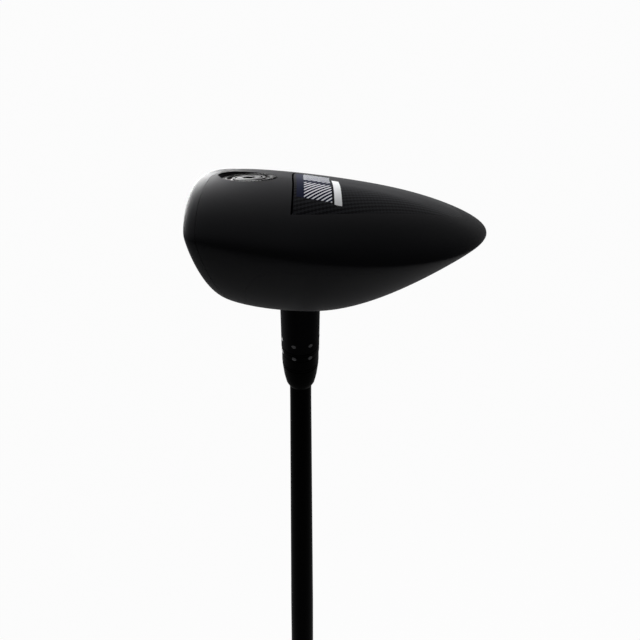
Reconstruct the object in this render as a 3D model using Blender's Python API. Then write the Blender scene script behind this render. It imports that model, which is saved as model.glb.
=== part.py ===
"""A right-handed fairway wood with an adjustable hosel, standing on its grip with the head up.

The row frame has +Z along the shaft, from the butt of the grip at the origin up to the head.
The head has a frame of its own: b runs from the face to the back, t from the heel to the toe and
u from the sole to the crown, from the point where the shaft axis meets the sole plane.
"""

import math

import bmesh
import bpy
from mathutils import Matrix, Vector
from mathutils.bvhtree import BVHTree

MM = 0.001

# The whole club
CLUB_LENGTH = 1092.2 * MM  # butt to the point where the shaft axis meets the sole plane
LIE = math.radians(57.5)
LOFT = math.radians(16.0)
FIT = 0.3 * MM  # clearance where one piece seats on another
RUN = 0.2 * MM  # radial clearance of turned pieces that slide or turn in each other

# The head's outer form
BACK_REACH = 47.0 * MM  # from the crown's centre to the tail
FRONT_REACH = 78.0 * MM  # the form runs on past the face, which trims it
TOE_REACH = 57.0 * MM
HEEL_REACH = 62.0 * MM
PLAN_POWER = 2.13
CENTRE_B = 21.7 * MM
CENTRE_T = 38.0 * MM
CROWN_HEIGHT = 38.7 * MM
CROWN_FALL = 0.196  # how much the crown drops for each unit towards the back
CROWN_ROUNDING = 0.14  # 0 gives a sharp rim, 1 an elliptical one
SOLE_POWER = 3.6  # higher is flatter
SOLE_LOW_B = 29.0 * MM  # where the cambered sole is lowest
SOLE_LOW_T = 46.0 * MM
SOLE_DROP = 1.5 * MM  # how far it reaches below the plane that the shaft axis is measured to
SOLE_FRONT_CAMBER = 470.0 * MM  # radii of the camber on the four sides of the lowest point
SOLE_BACK_CAMBER = 294.0 * MM
SOLE_TOE_CAMBER = 120.0 * MM
SOLE_HEEL_CAMBER = 670.0 * MM
RIM_HEIGHT = 7.65 * MM  # height of the widest line above the sole, at the centre
RIM_FALL = 0.029  # the rim's drop towards the back
RIM_RISE = 0.141  # the rim's rise towards the toe
HEEL_RIM = 6.0 * MM  # the rim never drops below this
RIM_BLEND = 4.0 * MM

# The face
FACE_PROGRESSION = 17.5 * MM  # leading edge ahead of the shaft axis
LEADING_EDGE_HEIGHT = 3.0 * MM
FACE_CENTRE_T = 38.0 * MM
FACE_CENTRE_U = 18.0 * MM
BULGE_RADIUS = 260.0 * MM
ROLL_RADIUS = 260.0 * MM
FACE_EDGE = 6.8 * MM  # width of the blend round the face
FACE_WRAP = 5.0 * MM  # the cup reaches this far behind the face
FACE_WALL = 2.2 * MM
FACE_HEEL_RADIUS = 12.0 * MM  # the cup stops at this distance from the shaft axis

# Walls of the body and its panels
BODY_WALL = 1.4 * MM
PANEL_WALL = 0.8 * MM
LEDGE_WALL = 1.0 * MM
LEDGE_WIDTH = 5.0 * MM
LEDGE_ROOT = 2.0 * MM
LEDGE_LAP = 0.5 * MM  # a ledge runs this far past the plane that parts sole and crown

# The plane inside the head that parts its sole side from its crown side
PARTING_HEIGHT = 8.3 * MM
PARTING_RISE = 0.075

# Crown panel outline
CROWN_PANEL_B = 24.0 * MM
CROWN_PANEL_T = 42.0 * MM
CROWN_PANEL_BACK = 41.0 * MM
CROWN_PANEL_FRONT = 20.0 * MM
CROWN_PANEL_TOE = 47.0 * MM
CROWN_PANEL_HEEL = 42.0 * MM
CROWN_PANEL_POWER = 2.3

# Sole panel outline
SOLE_PANEL_FRONT_B = 3.5 * MM
SOLE_PANEL_FRONT_T = 25.0 * MM
SOLE_PANEL_SWEEP = 0.29  # the front edge falls back this much for each unit to either side
SOLE_PANEL_NOSE = 8.0 * MM  # rounding at the middle of the front edge
SOLE_PANEL_B = 16.0 * MM
SOLE_PANEL_T = 37.6 * MM
SOLE_PANEL_BACK = 45.0 * MM
SOLE_PANEL_HALF = 44.0 * MM
SOLE_PANEL_POWER = 1.6

# Toe weight and its port in the sole
PORT_B = -1.6 * MM
PORT_T = 54.0 * MM
PORT_PROBE = 7.0 * MM
PORT_TILT = math.radians(4.0)  # the weight faces forward by this much more than the sole
WEIGHT_RADIUS = 8.2 * MM
WEIGHT_TEETH = 40
TOOTH_DEPTH = 0.45 * MM
WEIGHT_THICKNESS = 2.6 * MM
WEIGHT_SINK = 0.4 * MM
WEIGHT_DISH = 0.7 * MM
PORT_WALL = 1.3 * MM
PORT_FLOOR = 6.4 * MM  # thickness of the boss under the weight
WEIGHT_RING_THICKNESS = 1.1 * MM
WEIGHT_RING_WIDTH = 2.1 * MM
WEIGHT_SCREW_RADIUS = 2.5 * MM
WEIGHT_SCREW_HEAD = 3.9 * MM
WEIGHT_SCREW_HEAD_HEIGHT = 1.3 * MM
WEIGHT_SCREW_REACH = 5.2 * MM  # length of thread in the boss
SOCKET_RADIUS = 2.2 * MM
SOCKET_DEPTH = 0.8  # share of the screw head's height
LOBES = 6
LOBE_SWING = 0.13  # share of the socket's radius by which its wall moves in and out

# Stations along the shaft axis, measured from the sole plane towards the grip
BOLT_SEAT_AT = 27.0 * MM
BORE_FLOOR_AT = 46.0 * MM
TIP_AT = 52.0 * MM
HOSEL_END_AT = 82.0 * MM

# Hosel, its sleeves and the bolt
SHAFT_TIP_RADIUS = 4.25 * MM
BOND = 0.15 * MM
ADAPTER_WALL = 0.6 * MM
LIE_SLEEVE_WALL = 0.6 * MM
LOFT_SLEEVE_WALL = 0.6 * MM
HOSEL_WALL = 0.48 * MM
HOSEL_TAPER = 0.17 * MM
HOSEL_POST_WALL = 0.9 * MM
FLARE_LENGTH = 44.0 * MM
FLARE_WIDTH = 6.5 * MM
FLARE_FOOT_AT = 18.0 * MM
FLARE_POWER = 2.2
FLARE_LEAN = 0.85  # share of the flare's growth that goes to the back
SEAT_RING_LENGTH = 1.0 * MM
LOFT_RING_LENGTH = 2.2 * MM
LIE_RING_LENGTH = 4.6 * MM
COLLAR_LENGTH = 1.0 * MM
RING_STEP = 0.1 * MM  # each ring is a little slimmer than the one before it
RING_NOTCHES = 12
NOTCH_DEPTH = 0.25 * MM
SLEEVE_END_GAP = 2.0 * MM
BOLT_RADIUS = 2.5 * MM
BOLT_HEAD_RADIUS = 4.0 * MM
BOLT_HEAD_HEIGHT = 4.0 * MM
BOLT_THREAD = 10.0 * MM
BOLT_PORT_RADIUS = 5.0 * MM
WASHER_THICKNESS = 1.0 * MM
KEEPER_THICKNESS = 1.5 * MM
KEEPER_RADIUS = 4.3 * MM
TIP_PLUG_LENGTH = 8.0 * MM

# Ferrule, shaft and grip
FERRULE_LENGTH = 11.6 * MM
FERRULE_END_RADIUS = 5.6 * MM
FERRULE_CHAMFER = 1.9 * MM
TIP_PARALLEL = 8.0 * MM
SHOULDER_AT = 255.0 * MM  # the tip flares quickly up to here
SHOULDER_RADIUS = 5.25 * MM
TIP_WALL = 1.4 * MM
SHAFT_BUTT_RADIUS = 7.62 * MM
BUTT_PARALLEL = 60.0 * MM
BUTT_WALL = 0.9 * MM
TAPE_WALL = 0.3 * MM
GRIP_LENGTH = 270.0 * MM
GRIP_MOUTH_WALL = 1.6 * MM
GRIP_SWELL = 1.1 * MM
CAP_RADIUS = 13.4 * MM
CAP_LENGTH = 9.0 * MM
CAP_FLOOR = 4.0 * MM
CAP_EDGE = 2.4 * MM
VENT_RADIUS = 1.2 * MM

# Facets
HEAD_SPOKES = 46
HEAD_RINGS = 22
INNER_SPOKES = 30
INNER_RINGS = 14
OUTLINE_POINTS = 32
ROUND = 24
SMALL_ROUND = 20

# Radii that follow from the stack of sleeves in the hosel
ADAPTER_BORE = SHAFT_TIP_RADIUS + BOND
ADAPTER_RADIUS = ADAPTER_BORE + ADAPTER_WALL
LIE_SLEEVE_BORE = ADAPTER_RADIUS + RUN
LIE_SLEEVE_RADIUS = LIE_SLEEVE_BORE + LIE_SLEEVE_WALL
LOFT_SLEEVE_BORE = LIE_SLEEVE_RADIUS + RUN
LOFT_SLEEVE_RADIUS = LOFT_SLEEVE_BORE + LOFT_SLEEVE_WALL
HOSEL_BORE = LOFT_SLEEVE_RADIUS + RUN
HOSEL_END_RADIUS = HOSEL_BORE + HOSEL_WALL
HOSEL_RADIUS = HOSEL_END_RADIUS + HOSEL_TAPER
HOSEL_POST_RADIUS = HOSEL_BORE + HOSEL_POST_WALL
LOFT_RING_RADIUS = HOSEL_END_RADIUS - RING_STEP
LIE_RING_RADIUS = LOFT_RING_RADIUS - RING_STEP
COLLAR_RADIUS = LIE_RING_RADIUS - RING_STEP
BOLT_HOLE = BOLT_RADIUS + RUN + FIT
PORT_RADIUS = WEIGHT_RADIUS + FIT
PORT_DEPTH = WEIGHT_SINK + WEIGHT_THICKNESS + WEIGHT_RING_THICKNESS + 2 * FIT
SCREW_HOLE = WEIGHT_SCREW_RADIUS + FIT

# Stations that follow from the lengths of the pieces on the axis
SEAT_RING_AT = HOSEL_END_AT + FIT
LOFT_RING_AT = SEAT_RING_AT + SEAT_RING_LENGTH + FIT
LIE_RING_AT = LOFT_RING_AT + LOFT_RING_LENGTH + FIT
COLLAR_AT = LIE_RING_AT + LIE_RING_LENGTH + FIT
FERRULE_AT = COLLAR_AT + COLLAR_LENGTH + FIT
FERRULE_END_AT = FERRULE_AT + FERRULE_LENGTH
ADAPTER_END_AT = BORE_FLOOR_AT + SLEEVE_END_GAP

LEFT_OUT = 60.0 * MM  # how far a cutter runs past what it cuts
NOTCH_SHARE = 0.25  # width of a ring's notch in its pitch


def clear_scene():
    for obj in list(bpy.data.objects):
        bpy.data.objects.remove(obj, do_unlink=True)


def material(name, colour, roughness, metallic):
    """A plain Principled material of the piece's own colour and finish."""
    made = bpy.data.materials.new(name)
    made.use_nodes = True
    shader = made.node_tree.nodes["Principled BSDF"]
    shader.inputs["Base Color"].default_value = (*colour, 1.0)
    shader.inputs["Roughness"].default_value = roughness
    shader.inputs["Metallic"].default_value = metallic
    return made


def to_object(name, bm, finish, smooth_angle=math.radians(35)):
    """Turns a bmesh into a named object that is shaded smooth up to an angle."""
    bmesh.ops.remove_doubles(bm, verts=bm.verts, dist=1e-7)
    bmesh.ops.recalc_face_normals(bm, faces=bm.faces)
    mesh = bpy.data.meshes.new(name)
    bm.to_mesh(mesh)
    bm.free()
    mesh.shade_smooth()
    mesh.set_sharp_from_angle(angle=smooth_angle)
    if finish:
        mesh.materials.append(finish)
    obj = bpy.data.objects.new(name, mesh)
    bpy.context.scene.collection.objects.link(obj)
    return obj


def combine(obj, operation, *tools):
    """Joins, cuts or trims obj by other objects, which are used up."""
    for tool in tools:
        step = obj.modifiers.new(operation, "BOOLEAN")
        step.operation = operation
        step.solver = "EXACT"
        step.object = tool
        bpy.context.view_layer.update()
        result = bpy.data.meshes.new_from_object(
            obj.evaluated_get(bpy.context.evaluated_depsgraph_get())
        )
        obj.modifiers.clear()
        obj.data = result
        bpy.data.objects.remove(tool, do_unlink=True)
    return obj


def keep_largest(obj):
    """Drops the specks and pinholes that are left where facets of two walls cross."""
    bm = bmesh.new()
    bm.from_mesh(obj.data)
    left = set(bm.faces)
    islands = []
    while left:
        island = {left.pop()}
        edge = list(island)
        while edge:
            near = {f for e in edge.pop().edges for f in e.link_faces} & left
            left -= near
            island |= near
            edge += near
        islands.append(island)
    islands.sort(key=len)
    specks = [f for island in islands[:-1] for f in island]
    bmesh.ops.delete(bm, geom=specks, context="FACES")
    bm.to_mesh(obj.data)
    bm.free()
    return obj


def turned(name, profile, finish=None, segments=ROUND):
    """A solid turned about Z from a closed profile of (radius, height) points."""
    bm = bmesh.new()
    points = [bm.verts.new((r, 0, z)) for r, z in profile]
    pairs = zip(points, points[1:] + points[:1])
    edges = [bm.edges.new((a, b)) for a, b in pairs if a.co.x > 0 or b.co.x > 0]
    bmesh.ops.spin(
        bm, geom=points + edges, cent=(0, 0, 0), axis=(0, 0, 1),
        angle=math.tau, steps=segments, use_merge=True,
    )
    bmesh.ops.remove_doubles(bm, verts=bm.verts, dist=1e-7)
    middles = [v for v in bm.verts if math.hypot(v.co.x, v.co.y) < 1e-7]
    bmesh.ops.dissolve_verts(bm, verts=middles)
    return to_object(name, bm, finish)


def tube(name, bore, radius, low, high, finish=None, segments=ROUND):
    return turned(name, [(bore, low), (radius, low), (radius, high), (bore, high)], finish, segments)


def rod(name, radius, low, high, finish=None, segments=ROUND):
    return turned(name, [(0, low), (radius, low), (radius, high), (0, high)], finish, segments)


def half_prism(name, outline, end, lap):
    """A prism over an outline of (b, t) points, from the plane that parts sole and crown to an end."""
    bm = bmesh.new()
    start = PARTING_HEIGHT - math.copysign(lap, end)
    base = bm.faces.new([bm.verts.new((b, t, start + PARTING_RISE * (t - CENTRE_T))) for b, t in outline])
    far = bmesh.ops.extrude_face_region(bm, geom=[base])["geom"]
    for v in far:
        if isinstance(v, bmesh.types.BMVert):
            v.co.z = end
    return to_object(name, bm, None)


# The head's form

def rim_height(b, t):
    """Height of the head's widest line, which rises to the toe and levels out at the heel."""
    straight = RIM_HEIGHT - RIM_FALL * (b - CENTRE_B) + RIM_RISE * (t - CENTRE_T)
    return (straight + HEEL_RIM + math.hypot(straight - HEEL_RIM, RIM_BLEND)) / 2


def face_at(t, u):
    """Where the lofted face, with its bulge and roll, stands along b."""
    slope = math.tan(LOFT) * (u - LEADING_EDGE_HEIGHT)
    bulge = (t - FACE_CENTRE_T) ** 2 / (2 * BULGE_RADIUS)
    roll = (u - FACE_CENTRE_U) ** 2 / (2 * ROLL_RADIUS)
    return -FACE_PROGRESSION + slope + bulge + roll


def plan_reach(angle, inset):
    """Distance from the centre to the rim, seen from above."""
    along = BACK_REACH if math.cos(angle) > 0 else FRONT_REACH
    across = TOE_REACH if math.sin(angle) > 0 else HEEL_REACH
    powers = (
        abs(math.cos(angle) / (along - inset)) ** PLAN_POWER
        + abs(math.sin(angle) / (across - inset)) ** PLAN_POWER
    )
    return powers ** (-1 / PLAN_POWER)


def sole_lean(b, t):
    """How far the cambered sole rises from its lowest point."""
    along = SOLE_BACK_CAMBER if b > SOLE_LOW_B else SOLE_FRONT_CAMBER
    across = SOLE_TOE_CAMBER if t > SOLE_LOW_T else SOLE_HEEL_CAMBER
    away = max(b, -FACE_PROGRESSION) - SOLE_LOW_B
    return away**2 / (2 * along) + (t - SOLE_LOW_T) ** 2 / (2 * across)


def head_point(angle, latitude, inset, face_inset):
    """A point of the head's surface, taken in by a wall thickness."""
    out = math.cos(latitude)
    lift = math.sin(abs(latitude))
    reach = plan_reach(angle, inset) * out
    b = CENTRE_B + reach * math.cos(angle)
    t = CENTRE_T + reach * math.sin(angle)
    rim = rim_height(b, t)
    if latitude >= 0:
        crown = CROWN_HEIGHT - inset - CROWN_FALL * (b - CENTRE_B)
        u = rim + (crown - rim) * (CROWN_ROUNDING * lift + (1 - CROWN_ROUNDING) * lift**2)
    else:
        depth = rim - inset + SOLE_DROP - sole_lean(b, t)
        u = rim - depth * math.sqrt(1 - out**SOLE_POWER)
    face = face_at(t, u) + face_inset
    b = (b + face + math.hypot(b - face, FACE_EDGE)) / 2
    return Vector((b, t, u))


def head_form(name, inset=0.0, face_inset=None, spokes=HEAD_SPOKES, rings=HEAD_RINGS):
    """The head as one closed form, shaped from a sphere."""
    trim = inset if face_inset is None else face_inset
    bm = bmesh.new()
    bmesh.ops.create_uvsphere(bm, u_segments=spokes, v_segments=rings, radius=1.0)
    for v in bm.verts:
        angle = math.atan2(v.co.y, v.co.x)
        latitude = math.asin(max(-1.0, min(1.0, v.co.z)))
        v.co = head_point(angle, latitude, inset, trim)
    return to_object(name, bm, None)


def oval(centre, back, front, toe, heel, power, grow=0.0):
    """A closed superellipse with its own reach in each of the four directions."""
    points = []
    for i in range(OUTLINE_POINTS):
        angle = math.tau * i / OUTLINE_POINTS
        c, s = math.cos(angle), math.sin(angle)
        along = (back if c > 0 else front) + grow
        across = (toe if s > 0 else heel) + grow
        size = (abs(c / along) ** power + abs(s / across) ** power) ** (-1 / power)
        points.append((centre[0] + size * c, centre[1] + size * s))
    return points


def crown_outline(grow=0.0):
    return oval(
        (CROWN_PANEL_B, CROWN_PANEL_T), CROWN_PANEL_BACK, CROWN_PANEL_FRONT,
        CROWN_PANEL_TOE, CROWN_PANEL_HEEL, CROWN_PANEL_POWER, grow,
    )


def sole_front(t, grow):
    """The sole panel's front edge, which sweeps back to the toe and to the heel."""
    return SOLE_PANEL_FRONT_B - grow + SOLE_PANEL_SWEEP * math.hypot(t - SOLE_PANEL_FRONT_T, SOLE_PANEL_NOSE)


def sole_tail(angle, grow):
    """A point of the rounded tail of the sole panel."""
    c, s = math.cos(angle), math.sin(angle)
    back = abs(c / (SOLE_PANEL_BACK + grow)) ** SOLE_PANEL_POWER
    side = abs(s / (SOLE_PANEL_HALF + grow)) ** SOLE_PANEL_POWER
    size = (back + side) ** (-1 / SOLE_PANEL_POWER)
    return SOLE_PANEL_B + size * c, SOLE_PANEL_T + size * s


def sole_corner(side, grow):
    """The angle at which the tail meets the front edge, on the toe (1) or heel (-1) side."""
    inside, outside = 0.0, side * math.pi * 0.75
    for _ in range(40):
        middle = (inside + outside) / 2
        b, t = sole_tail(middle, grow)
        if b > sole_front(t, grow):
            inside = middle
        else:
            outside = middle
    return inside


def sole_outline(grow=0.0):
    """The rounded tail, closed by the front edge."""
    toe, heel = sole_corner(1, grow), sole_corner(-1, grow)
    tail = [sole_tail(heel + (toe - heel) * i / OUTLINE_POINTS, grow) for i in range(OUTLINE_POINTS + 1)]
    start, end = tail[-1][1], tail[0][1]
    steps = OUTLINE_POINTS // 2
    edge = [start + (end - start) * i / steps for i in range(1, steps)]
    return tail + [(sole_front(t, grow), t) for t in edge]


def crown_side(outline, lap=0.0):
    return half_prism("crown_side", outline, LEFT_OUT, lap)


def sole_side(outline, lap=0.0):
    return half_prism("sole_side", outline, -LEFT_OUT, lap)


def face_slab(name, behind):
    """Everything ahead of a surface that stands this far behind the face."""
    bm = bmesh.new()
    bmesh.ops.create_grid(bm, x_segments=24, y_segments=8, size=1.0)
    for v in bm.verts:
        t = CENTRE_T + v.co.x * 2 * TOE_REACH
        u = FACE_CENTRE_U + v.co.y * LEFT_OUT
        v.co = (face_at(t, u) + behind, t, u)
    sides = bmesh.ops.extrude_face_region(bm, geom=list(bm.faces))["geom"]
    for v in sides:
        if isinstance(v, bmesh.types.BMVert):
            v.co.x = -2 * LEFT_OUT
    return to_object(name, bm, None)


def on_axis(obj):
    """Turns a piece made about Z so that it runs up the shaft axis in the head's frame."""
    obj.data.transform(Matrix.Rotation(math.pi / 2 - LIE, 4, "X"))
    return obj


def heel_block(name, radius):
    """The heel's share of the front: a block round the shaft axis that runs on past the heel."""
    bm = bmesh.new()
    steps = ROUND // 2
    arc = [math.pi * i / steps for i in range(steps + 1)]
    outline = [(radius * math.cos(a), radius * math.sin(a)) for a in arc]
    outline += [(-radius, -LEFT_OUT), (radius, -LEFT_OUT)]
    base = bm.faces.new([bm.verts.new((x, y, -LEFT_OUT)) for x, y in outline])
    far = bmesh.ops.extrude_face_region(bm, geom=[base])["geom"]
    for v in far:
        if isinstance(v, bmesh.types.BMVert):
            v.co.z = LEFT_OUT
    return on_axis(to_object(name, bm, None))


def sole_frame(skin):
    """A frame on the sole at the weight port: its Z points out of the sole."""
    tree = BVHTree.FromPolygons(
        [v.co for v in skin.data.vertices], [p.vertices for p in skin.data.polygons]
    )
    hits = []
    for i in range(3):
        angle = math.tau * i / 3
        start = (PORT_B + PORT_PROBE * math.cos(angle), PORT_T + PORT_PROBE * math.sin(angle), -LEFT_OUT)
        hits.append(tree.ray_cast(start, (0, 0, 1))[0])
    normal = (hits[1] - hits[0]).cross(hits[2] - hits[0]).normalized()
    if normal.z > 0:
        normal.negate()
    normal.rotate(Matrix.Rotation(PORT_TILT, 3, "Y"))
    middle = (hits[0] + hits[1] + hits[2]) / 3
    return Matrix.Translation(middle) @ normal.to_track_quat("Z", "Y").to_matrix().to_4x4()


# Pieces of the head

def ledge(name, outline, half):
    """The shelf under a panel's edge that the panel is bonded to."""
    top = PANEL_WALL + FIT
    band = half(outline(LEDGE_ROOT), LEDGE_LAP)
    combine(band, "DIFFERENCE", half(outline(-LEDGE_WIDTH), 2 * LEDGE_LAP))
    shelf = head_form(name, top, top, INNER_SPOKES, INNER_RINGS)
    hollow = head_form("hollow", top + LEDGE_WALL, top + LEDGE_WALL, INNER_SPOKES, INNER_RINGS)
    combine(shelf, "DIFFERENCE", hollow)
    return combine(shelf, "INTERSECT", band)


def neck_form():
    """The neck as a solid, flaring into the heel and leaning back from the face as it widens."""
    profile = [(0, FLARE_FOOT_AT)]
    steps = 8
    for i in range(steps + 1):
        share = i / steps
        radius = HOSEL_RADIUS + FLARE_WIDTH * (1 - share) ** FLARE_POWER
        profile.append((radius, FLARE_FOOT_AT + FLARE_LENGTH * share))
    profile += [(HOSEL_END_RADIUS, HOSEL_END_AT), (HOSEL_BORE, HOSEL_END_AT)]
    profile += [(HOSEL_BORE, BORE_FLOOR_AT), (0, BORE_FLOOR_AT)]
    neck = turned("neck", profile)
    for v in neck.data.vertices:
        radius = math.hypot(v.co.x, v.co.y)
        v.co.x += FLARE_LEAN * max(0.0, radius - HOSEL_RADIUS)
    return on_axis(neck)


def head_body(finish, port):
    """The cast body, with ledges and weight boss, and the hosel tube that is welded into it."""
    body = head_form("head_body")
    opening = face_slab("face_opening", FACE_WRAP + FIT)
    combine(opening, "DIFFERENCE", heel_block("heel", FACE_HEEL_RADIUS))
    combine(body, "DIFFERENCE", opening)
    combine(body, "UNION", neck_form())
    hollow = head_form("hollow", BODY_WALL, FACE_WALL, INNER_SPOKES, INNER_RINGS)
    post = on_axis(rod("post", HOSEL_POST_RADIUS, -LEFT_OUT, LEFT_OUT))
    combine(hollow, "DIFFERENCE", post)
    combine(body, "DIFFERENCE", hollow)
    combine(body, "DIFFERENCE", crown_side(crown_outline(FIT)), sole_side(sole_outline(FIT)))
    combine(body, "UNION", ledge("crown_ledge", crown_outline, crown_side))
    combine(body, "UNION", ledge("sole_ledge", sole_outline, sole_side))
    boss = rod("boss", PORT_RADIUS + PORT_WALL, -PORT_DEPTH - PORT_FLOOR, -BODY_WALL / 2)
    boss.data.transform(port)
    combine(body, "UNION", boss)
    recess = rod("recess", PORT_RADIUS, -PORT_DEPTH, LEFT_OUT)
    thread = rod("thread", SCREW_HOLE, -PORT_DEPTH - WEIGHT_SCREW_REACH - FIT, 0, None, SMALL_ROUND)
    for cutter in (recess, thread):
        cutter.data.transform(port)
    combine(body, "DIFFERENCE", recess, thread)
    bore = [
        rod("bolt_hole", BOLT_HOLE, 0, BORE_FLOOR_AT + FIT, None, SMALL_ROUND),
        rod("keeper_seat", KEEPER_RADIUS + FIT, BORE_FLOOR_AT - KEEPER_THICKNESS - FIT, BORE_FLOOR_AT + FIT),
        rod("bolt_port", BOLT_PORT_RADIUS, -LEFT_OUT, BOLT_SEAT_AT),
    ]
    combine(body, "DIFFERENCE", *[on_axis(cutter) for cutter in bore])
    pieces = part_hosel(body)
    for piece in pieces:
        keep_largest(piece)
        piece.data.materials.clear()
        piece.data.materials.append(finish)
    return pieces


def part_hosel(body):
    """Parts the hosel tube from the body, along a cylinder about the shaft axis."""
    hosel = bpy.data.objects.new("hosel_tube", body.data.copy())
    bpy.context.scene.collection.objects.link(hosel)
    inside = rod("inside", HOSEL_POST_RADIUS - FIT / 2, -LEFT_OUT, HOSEL_END_AT + LEFT_OUT)
    outside = rod("outside", HOSEL_POST_RADIUS + FIT / 2, -LEFT_OUT, HOSEL_END_AT + LEFT_OUT)
    combine(hosel, "INTERSECT", on_axis(inside))
    combine(body, "DIFFERENCE", on_axis(outside))
    return body, hosel


def panel(name, outline, half, finish):
    """A thin composite panel, trimmed out of the head's own skin."""
    skin = head_form(name)
    hollow = head_form("hollow", PANEL_WALL, PANEL_WALL)
    combine(skin, "DIFFERENCE", hollow)
    combine(skin, "INTERSECT", half(outline()))
    skin.data.materials.clear()
    skin.data.materials.append(finish)
    return skin


def face_cup(finish):
    """The forged face, whose edge wraps back round the front of the head."""
    cup = head_form("face_cup")
    combine(cup, "DIFFERENCE", head_form("hollow", BODY_WALL, FACE_WALL, INNER_SPOKES, INNER_RINGS))
    combine(cup, "INTERSECT", face_slab("face_part", FACE_WRAP))
    combine(cup, "DIFFERENCE", heel_block("heel", FACE_HEEL_RADIUS + FIT))
    cup.data.materials.clear()
    cup.data.materials.append(finish)
    return cup


def lobed_socket(name, radius, low, high):
    """A six-lobed driver socket, as a cutter."""
    bm = bmesh.new()
    points = []
    for i in range(LOBES * 4):
        angle = math.tau * i / (LOBES * 4)
        reach = radius * (1 - LOBE_SWING + LOBE_SWING * math.cos(LOBES * angle))
        points.append(bm.verts.new((reach * math.cos(angle), reach * math.sin(angle), low)))
    base = bm.faces.new(points)
    top = bmesh.ops.extrude_face_region(bm, geom=[base])["geom"]
    moved = [v for v in top if isinstance(v, bmesh.types.BMVert)]
    bmesh.ops.translate(bm, verts=moved, vec=(0, 0, high - low))
    return to_object(name, bm, None)


def toe_weight(finish, port):
    """The toothed weight: a dished disc with a counterbore for its screw."""
    top = -WEIGHT_SINK
    foot = top - WEIGHT_THICKNESS
    bm = bmesh.new()
    points = []
    for i in range(WEIGHT_TEETH * 2):
        angle = math.tau * i / (WEIGHT_TEETH * 2)
        reach = WEIGHT_RADIUS - (TOOTH_DEPTH if i % 2 else 0)
        points.append(bm.verts.new((reach * math.cos(angle), reach * math.sin(angle), foot)))
    base = bm.faces.new(points)
    moved = bmesh.ops.extrude_face_region(bm, geom=[base])["geom"]
    bmesh.ops.translate(
        bm, verts=[v for v in moved if isinstance(v, bmesh.types.BMVert)], vec=(0, 0, WEIGHT_THICKNESS)
    )
    disc = to_object("toe_weight", bm, finish)
    hub = WEIGHT_SCREW_HEAD + FIT
    rim = WEIGHT_RADIUS - 2 * TOOTH_DEPTH
    land = (rim + hub) / 2
    dish = turned("dish", [
        (hub + WEIGHT_DISH, top + FIT), (hub + WEIGHT_DISH, top - WEIGHT_DISH / 2),
        (land, top - WEIGHT_DISH), (rim - WEIGHT_DISH, top - WEIGHT_DISH / 2), (rim - WEIGHT_DISH, top + FIT),
    ])
    counterbore = rod("counterbore", hub, top - WEIGHT_SCREW_HEAD_HEIGHT - FIT, LEFT_OUT)
    hole = rod("hole", SCREW_HOLE, -LEFT_OUT, LEFT_OUT, None, SMALL_ROUND)
    combine(disc, "DIFFERENCE", dish, counterbore, hole)
    disc.matrix_basis = port
    return disc


def weight_screw(finish, port):
    top = -WEIGHT_SINK
    under_head = top - WEIGHT_SCREW_HEAD_HEIGHT
    foot = -PORT_DEPTH - WEIGHT_SCREW_REACH
    screw = turned("weight_screw", [
        (0, foot), (WEIGHT_SCREW_RADIUS - FIT, foot), (WEIGHT_SCREW_RADIUS, foot + FIT),
        (WEIGHT_SCREW_RADIUS, under_head), (WEIGHT_SCREW_HEAD, under_head),
        (WEIGHT_SCREW_HEAD, top - FIT), (WEIGHT_SCREW_HEAD - FIT, top), (0, top),
    ], finish, SMALL_ROUND)
    floor = top - WEIGHT_SCREW_HEAD_HEIGHT * SOCKET_DEPTH
    combine(screw, "DIFFERENCE", lobed_socket("socket", SOCKET_RADIUS, floor, LEFT_OUT))
    screw.matrix_basis = port
    return screw


def weight_ring(finish, port):
    """The soft ring under the weight that stops it from rattling."""
    outer = WEIGHT_RADIUS - TOOTH_DEPTH - FIT
    ring = tube(
        "weight_ring", outer - WEIGHT_RING_WIDTH, outer,
        -PORT_DEPTH + FIT, -PORT_DEPTH + FIT + WEIGHT_RING_THICKNESS, finish,
    )
    ring.matrix_basis = port
    return ring


# Pieces in the hosel, about the shaft axis

def hosel_bolt(finish):
    """The captive bolt: its head faces the sole, and its thread reaches into the adapter."""
    head_top = BOLT_SEAT_AT - WASHER_THICKNESS - 2 * FIT
    head_foot = head_top - BOLT_HEAD_HEIGHT
    end = ADAPTER_END_AT + BOLT_THREAD
    bolt = turned("hosel_bolt", [
        (0, head_foot), (BOLT_HEAD_RADIUS - FIT, head_foot), (BOLT_HEAD_RADIUS, head_foot + FIT),
        (BOLT_HEAD_RADIUS, head_top), (BOLT_RADIUS, head_top),
        (BOLT_RADIUS, end - FIT), (BOLT_RADIUS - FIT, end), (0, end),
    ], finish, SMALL_ROUND)
    depth = head_foot + BOLT_HEAD_HEIGHT * SOCKET_DEPTH
    combine(bolt, "DIFFERENCE", lobed_socket("socket", SOCKET_RADIUS, -LEFT_OUT, depth))
    return on_axis(bolt)


def bolt_washer(finish):
    foot = BOLT_SEAT_AT - FIT - WASHER_THICKNESS
    return on_axis(tube(
        "bolt_washer", BOLT_RADIUS + RUN, BOLT_PORT_RADIUS - FIT, foot, foot + WASHER_THICKNESS, finish,
    ))


def bolt_keeper(finish):
    """The rubber ring that keeps the bolt in the head when it is undone."""
    return on_axis(tube(
        "bolt_keeper", BOLT_RADIUS + RUN, KEEPER_RADIUS,
        BORE_FLOOR_AT - KEEPER_THICKNESS, BORE_FLOOR_AT, finish, SMALL_ROUND,
    ))


def seat_ring(finish):
    return on_axis(tube(
        "hosel_seat_ring", HOSEL_BORE, HOSEL_END_RADIUS, SEAT_RING_AT, SEAT_RING_AT + SEAT_RING_LENGTH, finish,
    ))


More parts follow.
